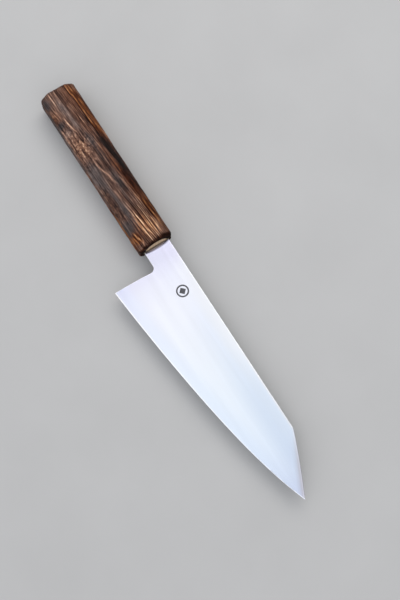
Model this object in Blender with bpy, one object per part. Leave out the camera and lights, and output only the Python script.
"""Chef knife: a gyuto with an angled (kiritsuke) tip and a burnt-wood wa handle.

Frame: +X runs from the butt of the handle to the tip of the blade, +Y from the
cutting edge towards the spine, +Z through the thickness. The origin is the centre
of the butt's flat end face, and the blade's middle plane is Z = 0.

The pieces are one forging that is blade, neck and hidden tang; an eight-sided barrel
with rounded arrises and a blind bore; a hardwood dowel, split in two and grooved, that
fills the bore; the adhesive that beds the tang in the groove; and the bead round the
neck where it meets the handle.
"""
import math

import bmesh
import bpy
import numpy as np
from mathutils import Matrix, Vector

MM = 0.001               # all sizes below are in millimetres

# ---- barrel ----------------------------------------------------------------
BARREL_LENGTH = 139.6
BUTT_HEIGHT = 28.2       # height (Y) of the section at the butt
FRONT_HEIGHT = 27.3      # and at the front
BARREL_THICKNESS = 23.0  # between the two flats that face +Z and -Z
CHAMFER_Y = 6.4          # legs of the four sloping facets
CHAMFER_Z = 5.6
ARRIS_RADIUS = 2.6       # rounding of the eight long arrises
ARRIS_STEPS = 4
ARRIS_MAX_SHARE = 0.42   # most of a side that one arris may take up
BUTT_ROUNDING = 2.8      # rounding of the butt's rim
BUTT_ANGLES = (0, 22.5, 45, 67.5, 90)    # degrees round that rim
FRONT_ROUNDING = 2.0     # rounding of the front rim
FRONT_ANGLES = (0, 30, 60, 90)
BORE_RADIUS = 9.2
BORE_START = 44.0        # bottom of the blind bore
BORE_OVERRUN = 3.0       # cutter past the front face
ROUND_FACETS = 48        # facets of the bore and of the whole dowel

# ---- blade -----------------------------------------------------------------
TIP_X = 346.0
TIP_Y = -10.3
SPINE_Y = 10.1           # straight spine, parallel to the handle's axis
SPINE_EASE = 0.35        # broken edge of the spine
EASE_MAX_SHARE = 0.12    # most of the blade's depth that it may take
EASE_MIN_THICKNESS = 0.45   # least share of the thickness left on the spine
CLIP_X = 301.4           # where the spine turns down to the tip
CLIP_BOW = 0.7           # crown of the angled tip line

NECK_START = BARREL_LENGTH + 0.35   # shoulders, just clear of the barrel's front
NECK_MID_X = 144.3
NECK_Y = -10.2           # underside of the neck
NECK_THICKNESS = 3.0

CHOIL_X = 154.9          # foot of the choil's fillet
CHOIL_LEAN = 1.2         # how far the heel reaches back towards the handle
LEAN_FADE = 60.0         # length of blade over which the lean dies out
CHOIL_RADIUS = 3.8       # fillet between neck and choil
CHOIL_STEPS = 6
FILLET_START = CHOIL_X - CHOIL_RADIUS
CHOIL_TOP = NECK_Y - CHOIL_RADIUS
HEEL_X = CHOIL_X - CHOIL_LEAN
HEEL_Y = -43.5

# Rise of the edge from heel to tip: (power of the run, relative weight)
EDGE_TERMS = ((1, 16.6), (2, 11.1), (6, 5.9))

# Full thickness near the spine: (x, thickness)
SPINE_THICKNESS = (
    (NECK_START, NECK_THICKNESS), (154.0, 2.95), (220.0, 2.35), (CLIP_X, 1.65), (TIP_X, 0.5),
)

# Convex grind: half = thickness / 2 * (1 - depth ** GRIND_INNER) ** GRIND_OUTER
GRIND_INNER = 1.3
GRIND_OUTER = 0.9
GRIND_START = 141.0      # the grind fades in from here
GRIND_RUN_IN = 13.0

BODY_STEPS = 17          # columns from choil to clip
CLIP_STEPS = 10          # and from clip to tip
CLIP_SPACING = 1.25      # power that sets the columns' spacing towards the tip
LOWER_ROWS = 7           # rows of points below the level of the choil's top
LOWER_SPACING = 0.85     # power that sets the spacing of those rows

# ---- tang ------------------------------------------------------------------
TANG_END = 52.0          # hidden end
TANG_HALF_HEIGHT = 5.0   # at the shoulders
TANG_END_HALF_HEIGHT = 3.2
TANG_END_THICKNESS = 2.2
TANG_NOSE = 3.0          # length of the narrowed end
TANG_NOSE_DROP = 1.6     # taken off the half height there
TANG_STATIONS = (110.0, 80.0, TANG_END + TANG_NOSE, TANG_END)

# Rows of the neck from spine to underside; the tang continues rows 2 to 5
NECK_ROWS = (SPINE_Y, SPINE_Y - SPINE_EASE, TANG_HALF_HEIGHT, TANG_HALF_HEIGHT / 3.0,
             -TANG_HALF_HEIGHT / 3.0, -TANG_HALF_HEIGHT, NECK_Y)
NECK_SHARES = [(SPINE_Y - y) / (SPINE_Y - NECK_Y) for y in NECK_ROWS]
TANG_ROWS = slice(2, 6)
SHOULDER_ROWS = (0, 1, 5)
UNDERSIDE_ROW = len(NECK_ROWS) - 1
EDGE_ROW = UNDERSIDE_ROW + LOWER_ROWS

# ---- core and bedding ------------------------------------------------------
FIT_GAP = 0.15           # round the dowel in its bore and the bedding in its groove
DOWEL_RADIUS = BORE_RADIUS - FIT_GAP
DOWEL_START = BORE_START + 1.0
GROOVE_HALF_HEIGHT = 5.9
GROOVE_DEPTH = 2.15      # measured from the blade's middle plane
HALF_GLUE_LINE = 0.06    # half of the gap between the dowel's halves
BED_START = 48.5
BED_END = BARREL_LENGTH - 0.25
BED_CLEARANCE = 0.18     # between the bedding and the steel

# ---- bead ------------------------------------------------------------------
BEAD_START = BARREL_LENGTH + 0.08
BEAD_END = BEAD_START + 0.54
BEAD_OUTER = 0.46        # reach outside the neck
BEAD_INNER = 0.16        # clearance to the neck

# Section of the bead: (x, distance outside the neck, corner radius)
BEAD_SECTION = (
    (BEAD_START, BEAD_INNER, 0.1),
    (BEAD_START, BEAD_OUTER, 0.6),
    (BEAD_START + 0.22, BEAD_OUTER - 0.04, 0.6),
    (BEAD_START + 0.42, BEAD_OUTER - 0.15, 0.4),
    (BEAD_END, BEAD_INNER + 0.12, 0.2),
    (BEAD_END, BEAD_INNER, 0.1),
)

# ---- mark: on the +Z face, a ring round a square set on its corner ---------
MARK_X = 178.1
MARK_Y = -2.2
MARK_RADIUS = 4.7
MARK_BAND = 1.15         # width of the ring
MARK_SQUARE = 2.8        # centre to corner of the square
MARK_DEPTH = 0.14
MARK_CUTTER_TOP = 1.2    # height of the cutters above the face
MARK_FACETS = 36
MARK_TILT_REACH = 3.0    # the slope is taken this far above and below the centre


# ---- helpers ---------------------------------------------------------------
def material(name, colour, roughness, metallic):
    mat = bpy.data.materials.new(name)
    mat.use_nodes = True
    shader = mat.node_tree.nodes["Principled BSDF"]
    shader.inputs["Base Color"].default_value = (*colour, 1.0)
    shader.inputs["Roughness"].default_value = roughness
    shader.inputs["Metallic"].default_value = metallic
    mat.diffuse_color = (*colour, 1.0)
    return mat


def add_object(name, verts, faces, mat, parent, sharp_angle=30.0):
    """Mesh object from points in millimetres; edges over sharp_angle degrees stay sharp."""
    mesh = bpy.data.meshes.new(name)
    mesh.from_pydata([(x * MM, y * MM, z * MM) for x, y, z in verts], [], faces)
    mesh.validate()
    bm = bmesh.new()
    bm.from_mesh(mesh)
    bmesh.ops.recalc_face_normals(bm, faces=bm.faces[:])
    bm.to_mesh(mesh)
    bm.free()
    mesh.shade_smooth()
    mesh.set_sharp_from_angle(angle=math.radians(sharp_angle))
    ob = bpy.data.objects.new(name, mesh)
    bpy.context.scene.collection.objects.link(ob)
    ob.parent = parent
    if mat is not None:
        mesh.materials.append(mat)
    return ob


def cut(ob, cutter):
    cutter.hide_render = True
    cutter.display_type = 'WIRE'
    mod = ob.modifiers.new("cut_" + cutter.name, 'BOOLEAN')
    mod.operation = 'DIFFERENCE'
    mod.solver = 'EXACT'
    mod.object = cutter


def loft(rings, closed=False):
    """Skin over rings of equal length, capped at both ends or closed on itself."""
    size = len(rings[0])
    verts = [point for ring in rings for point in ring]
    faces = []
    for i in range(len(rings) if closed else len(rings) - 1):
        here = i * size
        there = (i + 1) % len(rings) * size
        for j in range(size):
            k = (j + 1) % size
            faces.append((here + j, here + k, there + k, there + j))
    if not closed:
        faces.append(tuple(range(size)))
        faces.append(tuple(range(len(verts) - size, len(verts))))
    return verts, faces


def clamp(value):
    return min(1.0, max(0.0, value))


def smoothstep(value):
    value = clamp(value)
    return value * value * (3.0 - 2.0 * value)


# ---- blade outline and thickness -------------------------------------------
def edge_y(x):
    run = max(0.0, (x - HEEL_X) / (TIP_X - HEEL_X))
    rise = sum(weight * run ** power for power, weight in EDGE_TERMS)
    full_rise = sum(weight for _, weight in EDGE_TERMS)
    return HEEL_Y + rise * (TIP_Y - HEEL_Y) / full_rise


def spine_y(x):
    if x <= CLIP_X:
        return SPINE_Y
    run = (x - CLIP_X) / (TIP_X - CLIP_X)
    return SPINE_Y + (TIP_Y - SPINE_Y) * run + 4.0 * CLIP_BOW * run * (1.0 - run)


def half_thickness(x, y):
    """Half of the blade's thickness at a point of its side."""
    top = spine_y(x)
    depth = clamp((top - y) / (top - edge_y(x)))
    ground = smoothstep((x - GRIND_START) / GRIND_RUN_IN)
    full = float(np.interp(x, *zip(*SPINE_THICKNESS)))
    return 0.5 * full * (1.0 - (ground * depth) ** GRIND_INNER) ** GRIND_OUTER


# ---- blade columns: (x, y) points from spine down --------------------------
def upper_column(x, top, bottom, ease=SPINE_EASE):
    """The neck's rows, stretched to lie between top and bottom."""
    column = [(x, top - share * (top - bottom)) for share in NECK_SHARES]
    column[1] = (x, top - ease)
    return column


def blade_column(x):
    """Full column; its lower rows lean back towards the handle near the choil."""
    top = spine_y(x)
    fade = max(0.0, 1.0 - (x - CHOIL_X) / LEAN_FADE)
    edge = edge_y(x - CHOIL_LEAN * fade)
    middle = top - (SPINE_Y - CHOIL_TOP) / (SPINE_Y - HEEL_Y) * (top - edge)
    column = upper_column(x, top, middle, min(SPINE_EASE, EASE_MAX_SHARE * (top - edge)))
    for k in range(1, LOWER_ROWS + 1):
        y = middle + (k / LOWER_ROWS) ** LOWER_SPACING * (edge - middle)
        drop = clamp((CHOIL_TOP - y) / (CHOIL_TOP - HEEL_Y))
        lean = CHOIL_LEAN * (1.0 - (1.0 - drop) ** 2)
        column.append((x - lean * fade, y))
    return column


def neck_columns():
    """Columns from the shoulders to just short of the foot of the choil's fillet."""
    columns = [upper_column(x, SPINE_Y, NECK_Y) for x in (NECK_START, NECK_MID_X, FILLET_START)]
    for k in range(1, CHOIL_STEPS):
        angle = math.radians(90.0 * k / CHOIL_STEPS)
        x = FILLET_START + CHOIL_RADIUS * math.sin(angle)
        bottom = NECK_Y - CHOIL_RADIUS * (1.0 - math.cos(angle))
        columns.append(upper_column(x, SPINE_Y, bottom))
    return columns


def body_columns():
    """Columns from the choil to just short of the tip."""
    stations = [CHOIL_X + (CLIP_X - CHOIL_X) * k / BODY_STEPS for k in range(BODY_STEPS + 1)]
    for k in range(1, CLIP_STEPS):
        run = 1.0 - (1.0 - k / CLIP_STEPS) ** CLIP_SPACING
        stations.append(CLIP_X + (TIP_X - CLIP_X) * run)
    return [blade_column(x) for x in stations]


# ---- blade mesh ------------------------------------------------------------
def add_pair(verts, x, y, half):
    """Add mirrored points on the +Z and -Z sides and return their indices."""
    verts += [(x, y, half), (x, y, -half)]
    return len(verts) - 2, len(verts) - 1


def add_column(verts, column):
    """Add a column on both sides; the cutting edge is one shared point."""
    pairs = []
    for row, (x, y) in enumerate(column):
        if row == EDGE_ROW:
            verts.append((x, y, 0.0))
            pairs.append((len(verts) - 1, len(verts) - 1))
            continue
        half = half_thickness(x, y)
        if row == 0:
            half = max(EASE_MIN_THICKNESS * half, half - SPINE_EASE)
        pairs.append(add_pair(verts, x, y, half))
    plus, minus = zip(*pairs)
    return plus, minus


def blade_faces(sides, choil, tip):
    """Faces of neck and blade; choil is the index of the first full column."""
    faces = []
    for i, ((plus, minus), (next_plus, next_minus)) in enumerate(zip(sides, sides[1:])):
        for r in range(min(len(plus), len(next_plus)) - 1):
            faces.append((plus[r], plus[r + 1], next_plus[r + 1], next_plus[r]))
            faces.append((minus[r], next_minus[r], next_minus[r + 1], minus[r + 1]))
        faces.append((plus[0], next_plus[0], next_minus[0], minus[0]))
        if i < choil:
            q = UNDERSIDE_ROW
            faces.append((plus[q], minus[q], next_minus[q], next_plus[q]))

    # Choil face, which ends in a triangle at the heel
    plus, minus = sides[choil]
    for r in range(UNDERSIDE_ROW, EDGE_ROW - 1):
        faces.append((plus[r], minus[r], minus[r + 1], plus[r + 1]))
    faces.append((plus[EDGE_ROW - 1], minus[EDGE_ROW - 1], plus[EDGE_ROW]))

    # Point of the blade
    plus, minus = sides[-1]
    for r in range(EDGE_ROW):
        faces.append((plus[r], plus[r + 1], tip))
        faces.append((minus[r + 1], minus[r], tip))
    faces.append((plus[0], tip, minus[0]))
    return faces


def tang_section(x):
    """Half height and half thickness of the tapered tang, without its narrowed end."""
    share = min(1.0, (NECK_START - x) / (NECK_START - TANG_END))
    half_height = TANG_HALF_HEIGHT + (TANG_END_HALF_HEIGHT - TANG_HALF_HEIGHT) * share
    thickness = NECK_THICKNESS + (TANG_END_THICKNESS - NECK_THICKNESS) * share
    return half_height, 0.5 * thickness


def add_tang(verts, faces, plus, minus):
    """Shoulders and tang, from the neck's first column back to the hidden end."""
    for r in SHOULDER_ROWS:
        faces.append((plus[r], minus[r], minus[r + 1], plus[r + 1]))
    last_plus, last_minus = plus[TANG_ROWS], minus[TANG_ROWS]
    for x in TANG_STATIONS:
        height, half = tang_section(x)
        if x == TANG_END:
            height -= TANG_NOSE_DROP
        rows = (height, height / 3.0, -height / 3.0, -height)
        plus, minus = zip(*[add_pair(verts, x, y, half) for y in rows])
        for r in range(3):
            faces.append((plus[r], plus[r + 1], last_plus[r + 1], last_plus[r]))
            faces.append((minus[r], last_minus[r], last_minus[r + 1], minus[r + 1]))
        faces.append((plus[0], last_plus[0], last_minus[0], minus[0]))
        faces.append((plus[3], minus[3], last_minus[3], last_plus[3]))
        last_plus, last_minus = plus, minus
    for r in range(3):
        faces.append((plus[r], minus[r], minus[r + 1], plus[r + 1]))


def build_blade(mat, parent):
    neck = neck_columns()
    verts = []
    sides = [add_column(verts, column) for column in neck + body_columns()]
    verts.append((TIP_X, TIP_Y, 0.0))
    faces = blade_faces(sides, choil=len(neck), tip=len(verts) - 1)
    add_tang(verts, faces, *sides[0])
    return add_object("blade", verts, faces, mat, parent, sharp_angle=20.0)


# ---- mark ------------------------------------------------------------------
def build_mark_cutters(parent):
    """Two shallow cutters, tilted to lie along the ground face."""
    below = half_thickness(MARK_X, MARK_Y - MARK_TILT_REACH)
    above = half_thickness(MARK_X, MARK_Y + MARK_TILT_REACH)
    tilt = Matrix.Rotation(math.atan2(above - below, 2.0 * MARK_TILT_REACH), 3, 'X')
    centre = (MARK_X, MARK_Y, half_thickness(MARK_X, MARK_Y))

    def ring(radius, z, count, turn=0.0):
        points = []
        for k in range(count):
            angle = turn + 2 * math.pi * k / count
            offset = tilt @ Vector((radius * math.cos(angle), radius * math.sin(angle), z))
            points.append(tuple(c + d for c, d in zip(centre, offset)))
        return points

    low, high = -MARK_DEPTH, MARK_CUTTER_TOP
    inner = MARK_RADIUS - MARK_BAND
    corners = ((MARK_RADIUS, low), (MARK_RADIUS, high), (inner, high), (inner, low))
    band = loft([ring(radius, z, MARK_FACETS) for radius, z in corners], closed=True)
    square = loft([ring(MARK_SQUARE, z, 4, math.pi / 2) for z in (low, high)])
    return [add_object("mark_ring_cutter", *band, None, parent),
            add_object("mark_square_cutter", *square, None, parent)]


# ---- barrel ----------------------------------------------------------------
def octagon(height):
    """Corners (y, z) of the barrel's section, anticlockwise."""
    h, t = height / 2.0, BARREL_THICKNESS / 2.0
    return [(h, -t + CHAMFER_Z), (h, t - CHAMFER_Z), (h - CHAMFER_Y, t), (-h + CHAMFER_Y, t),
            (-h, t - CHAMFER_Z), (-h, -t + CHAMFER_Z), (-h + CHAMFER_Y, -t), (h - CHAMFER_Y, -t)]


def inset(polygon, distance):
    """Anticlockwise polygon with every side moved inwards."""
    lines = []
    for i, corner in enumerate(polygon):
        start, end = Vector(corner), Vector(polygon[(i + 1) % len(polygon)])
        along = (end - start).normalized()
        lines.append((start + Vector((-along.y, along.x)) * distance, along))
    corners = []
    for i, (start, along) in enumerate(lines):
        last_start, last_along = lines[i - 1]
        gap = start - last_start
        reach = gap.cross(along) / last_along.cross(along)
        corners.append(last_start + last_along * reach)
    return corners


def rounded(corners):
    """Convex anticlockwise polygon with an arc in place of each corner."""
    points = []
    for i, corner in enumerate(corners):
        back = corners[i - 1] - corner
        ahead = corners[(i + 1) % len(corners)] - corner
        shorter = min(back.length, ahead.length)
        back.normalize()
        ahead.normalize()
        angle = math.acos(back.dot(ahead))
        slope = math.tan(angle / 2.0)
        radius = min(ARRIS_RADIUS, ARRIS_MAX_SHARE * shorter * slope)
        centre = corner + (back + ahead).normalized() * (radius / math.sin(angle / 2.0))
        spoke = corner + back * (radius / slope) - centre
        for k in range(ARRIS_STEPS + 1):
            turn = (math.pi - angle) * k / ARRIS_STEPS
            points.append((centre.x + spoke.x * math.cos(turn) - spoke.y * math.sin(turn),
                           centre.y + spoke.x * math.sin(turn) + spoke.y * math.cos(turn)))
    return points


def barrel_ring(x, distance):
    height = BUTT_HEIGHT + (FRONT_HEIGHT - BUTT_HEIGHT) * x / BARREL_LENGTH
    return [(x, y, z) for y, z in rounded(inset(octagon(height), distance))]


def build_barrel(mat, parent):
    stations = []        # (x, inset of the section)
    for angle in map(math.radians, BUTT_ANGLES):
        stations.append((BUTT_ROUNDING * (1.0 - math.cos(angle)),
                         BUTT_ROUNDING * (1.0 - math.sin(angle))))
    stations.append((BARREL_LENGTH / 2.0, 0.0))
    for angle in map(math.radians, FRONT_ANGLES):
        stations.append((BARREL_LENGTH - FRONT_ROUNDING * (1.0 - math.sin(angle)),
                         FRONT_ROUNDING * (1.0 - math.cos(angle))))
    skin = loft([barrel_ring(x, distance) for x, distance in stations])
    barrel = add_object("handle_barrel", *skin, mat, parent, sharp_angle=50.0)
    cut(barrel, build_bore_cutter(parent))


def build_bore_cutter(parent):
    angles = [2 * math.pi * k / ROUND_FACETS for k in range(ROUND_FACETS)]
    rings = [[(x, BORE_RADIUS * math.cos(a), BORE_RADIUS * math.sin(a)) for a in angles]
             for x in (BORE_START, BARREL_LENGTH + BORE_OVERRUN)]
    return add_object("bore_cutter", *loft(rings), None, parent)


# ---- core, bedding and bead ------------------------------------------------
def build_dowel(name, side, mat, parent):
    """Half of the round core, on the +Z or -Z side, with a groove in its flat."""
    start = math.asin(HALF_GLUE_LINE / DOWEL_RADIUS)
    steps = ROUND_FACETS // 2
    profile = []
    for k in range(steps + 1):
        angle = start + (math.pi - 2.0 * start) * k / steps
        profile.append((DOWEL_RADIUS * math.cos(angle), DOWEL_RADIUS * math.sin(angle)))
    profile += [(-GROOVE_HALF_HEIGHT, HALF_GLUE_LINE), (-GROOVE_HALF_HEIGHT, GROOVE_DEPTH),
                (GROOVE_HALF_HEIGHT, GROOVE_DEPTH), (GROOVE_HALF_HEIGHT, HALF_GLUE_LINE)]
    rings = [[(x, y, side * z) for y, z in profile] for x in (DOWEL_START, BARREL_LENGTH)]
    add_object(name, *loft(rings), mat, parent, sharp_angle=40.0)


def build_bedding(mat, parent):
    """Sleeve with a blind, tapered pocket for the tang, open towards the blade."""
    def box(x, h, t):
        return [(x, h, t), (x, -h, t), (x, -h, -t), (x, h, -t)]

    rings = [box(x, GROOVE_HALF_HEIGHT - FIT_GAP, GROOVE_DEPTH - FIT_GAP)
             for x in (BED_START, BED_END)]
    for x in (BED_END, TANG_END - BED_CLEARANCE):
        half_height, half = tang_section(x)
        rings.append(box(x, half_height + BED_CLEARANCE, half + BED_CLEARANCE))
    add_object("tang_bedding", *loft(rings), mat, parent)


def build_bead(mat, parent):
    """Bead round the root of the neck, rounded off towards the blade."""
    middle = (SPINE_Y + NECK_Y) / 2.0

    def loop(x, grow, radius):
        reach_y = (SPINE_Y - NECK_Y) / 2.0 + grow - radius
        reach_z = 0.5 * NECK_THICKNESS + grow - radius
        points = []
        for sign_y, sign_z, start in ((1, 1, 0), (-1, 1, 90), (-1, -1, 180), (1, -1, 270)):
            for k in range(4):
                angle = math.radians(start + 30 * k)
                points.append((x, middle + sign_y * reach_y + radius * math.cos(angle),
                               sign_z * reach_z + radius * math.sin(angle)))
        return points

    skin = loft([loop(*station) for station in BEAD_SECTION], closed=True)
    add_object("slot_seal", *skin, mat, parent, sharp_angle=40.0)


# ---- assembly --------------------------------------------------------------
def main():
    for ob in list(bpy.data.objects):
        bpy.data.objects.remove(ob, do_unlink=True)

    root = bpy.data.objects.new("knife", None)
    bpy.context.scene.collection.objects.link(root)

    steel = material("satin_steel", colour=(0.70, 0.72, 0.76), roughness=0.28, metallic=1.0)
    burnt = material("burnt_chestnut", colour=(0.085, 0.045, 0.026), roughness=0.62, metallic=0.0)
    pale = material("pale_hardwood", colour=(0.36, 0.24, 0.12), roughness=0.60, metallic=0.0)
    resin = material("amber_adhesive", colour=(0.30, 0.20, 0.08), roughness=0.35, metallic=0.0)
    wax = material("dark_sealant", colour=(0.045, 0.035, 0.022), roughness=0.45, metallic=0.0)

    blade = build_blade(steel, root)
    for cutter in build_mark_cutters(root):
        cut(blade, cutter)
    build_barrel(burnt, root)
    build_dowel("core_dowel_left", 1.0, pale, root)
    build_dowel("core_dowel_right", -1.0, pale, root)
    build_bedding(resin, root)
    build_bead(wax, root)


main()
